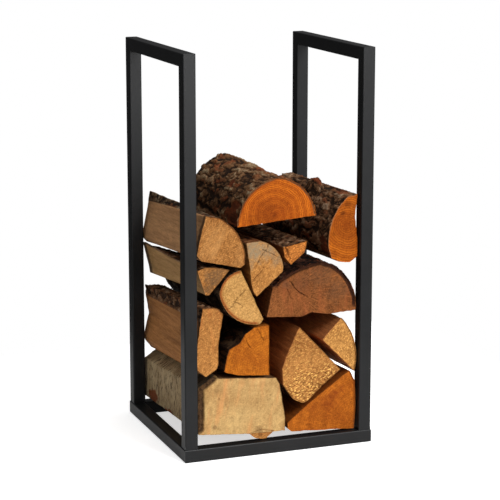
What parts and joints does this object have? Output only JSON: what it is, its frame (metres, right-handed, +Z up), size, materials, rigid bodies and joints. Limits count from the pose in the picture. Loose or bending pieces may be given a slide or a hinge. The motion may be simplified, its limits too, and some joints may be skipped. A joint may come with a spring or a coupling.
{
  "type": "firewood log rack",
  "caption": "Free-standing steel rack for split firewood: open square base, two upright side frames, open front, back and top, loaded with split logs.",
  "frame": {"origin": "middle of the footprint, on the floor", "axes": "+Z up, -Y the open front the logs are taken from, +X to the right seen from the front"},
  "size_m": [0.303, 0.281, 0.61],
  "materials": {
    "powder_coat": "satin anthracite powder coat",
    "zinc": "bright zinc plated",
    "wood_orange": "freshly split orange-brown wood with bark",
    "wood_tan": "dry split wood with bark",
    "wood_pale": "pale split wood with weathered side",
    "wood_grey": "greyed dry wood with cracks",
    "wood_brown": "brown wood with thick dark bark"
  },
  "bodies": {
    "rack": {"base_front_bar": "powder_coat", "base_back_bar": "powder_coat", "base_left_bar": "powder_coat", "base_right_bar": "powder_coat", "left_front_post": "powder_coat", "left_back_post": "powder_coat", "left_top_bar": "powder_coat", "right_front_post": "powder_coat", "right_back_post": "powder_coat", "right_top_bar": "powder_coat", "left_front_pad": "powder_coat", "left_back_pad": "powder_coat", "right_front_pad": "powder_coat", "right_back_pad": "powder_coat", "frame_bolts": "zinc", "post_foot_plates": "powder_coat", "frame_corner_welds": "powder_coat", "base_corner_welds": "powder_coat"},
    "log_top_half": {"log_top_half": "wood_orange"},
    "log_top_right": {"log_top_right": "wood_orange"},
    "log_upper_left": {"log_upper_left": "wood_tan"},
    "log_small_left": {"log_small_left": "wood_tan"},
    "log_pale_half": {"log_pale_half": "wood_pale"},
    "log_grey_quarter": {"log_grey_quarter": "wood_grey"},
    "log_wedge": {"log_wedge": "wood_tan"},
    "log_big_half": {"log_big_half": "wood_brown"},
    "log_slab": {"log_slab": "wood_orange"},
    "log_orange": {"log_orange": "wood_orange"},
    "log_kite": {"log_kite": "wood_tan"},
    "log_moon": {"log_moon": "wood_tan"},
    "log_beige": {"log_beige": "wood_pale"},
    "log_wedge_low": {"log_wedge_low": "wood_orange"}
  },
  "joints": [
    {"name": "log_top_half_pull", "type": "slide", "parent": "rack", "child": "log_top_half", "axis": [0, -0.9968, 0.0797], "range_m": [0, 0.3]},
    {"name": "log_top_right_pull", "type": "slide", "parent": "rack", "child": "log_top_right", "axis": [0, -0.9968, 0.0797], "range_m": [0, 0.3]},
    {"name": "log_upper_left_pull", "type": "slide", "parent": "rack", "child": "log_upper_left", "axis": [0, -0.9968, 0.0797], "range_m": [0, 0.3]},
    {"name": "log_small_left_pull", "type": "slide", "parent": "rack", "child": "log_small_left", "axis": [0, -0.9968, 0.0797], "range_m": [0, 0.3]},
    {"name": "log_pale_half_pull", "type": "slide", "parent": "rack", "child": "log_pale_half", "axis": [0, -0.9968, 0.0797], "range_m": [0, 0.3]},
    {"name": "log_grey_quarter_pull", "type": "slide", "parent": "rack", "child": "log_grey_quarter", "axis": [0, -0.9979, 0.0652], "range_m": [0, 0.3]},
    {"name": "log_wedge_pull", "type": "slide", "parent": "rack", "child": "log_wedge", "axis": [0, -0.9988, 0.0484], "range_m": [0, 0.3]},
    {"name": "log_big_half_pull", "type": "slide", "parent": "rack", "child": "log_big_half", "axis": [0, -0.9988, 0.0484], "range_m": [0, 0.3]},
    {"name": "log_slab_pull", "type": "slide", "parent": "rack", "child": "log_slab", "axis": [0, -0.9968, 0.0797], "range_m": [0, 0.3]},
    {"name": "log_orange_pull", "type": "slide", "parent": "rack", "child": "log_orange", "axis": [0, -0.9968, 0.0797], "range_m": [0, 0.3]},
    {"name": "log_kite_pull", "type": "slide", "parent": "rack", "child": "log_kite", "axis": [0, -0.9988, 0.0484], "range_m": [0, 0.3]},
    {"name": "log_moon_pull", "type": "slide", "parent": "rack", "child": "log_moon", "axis": [0, -0.9988, 0.0484], "range_m": [0, 0.3]},
    {"name": "log_beige_pull", "type": "slide", "parent": "rack", "child": "log_beige", "axis": [0, -0.9988, 0.0484], "range_m": [0, 0.3]},
    {"name": "log_wedge_low_pull", "type": "slide", "parent": "rack", "child": "log_wedge_low", "axis": [0, -1, 0], "range_m": [0, 0.3]}
  ]
}
